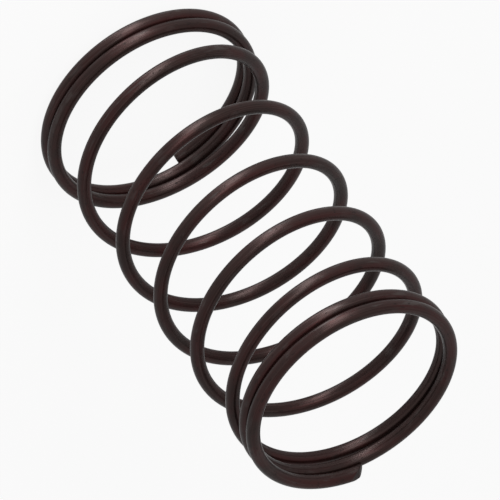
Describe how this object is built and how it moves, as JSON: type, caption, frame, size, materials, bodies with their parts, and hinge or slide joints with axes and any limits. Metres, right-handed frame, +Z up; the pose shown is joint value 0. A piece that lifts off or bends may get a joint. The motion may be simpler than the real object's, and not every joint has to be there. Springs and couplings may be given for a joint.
{
  "type": "compression spring",
  "caption": "Cylindrical compression spring of blackened round steel wire, wound right-handed, with closed unground ends.",
  "frame": {"origin": "middle of the foot, on the surface that the spring stands on, on its axis", "axes": "+Z up along the axis of the coils; the wire starts at its lower tip near +Y and winds upward, counter-clockwise seen from above"},
  "size_m": [0.0202, 0.0202, 0.04],
  "materials": {
    "spring_steel": "satin"
  },
  "bodies": {
    "root": {"spring": "spring_steel"}
  },
  "joints": []
}
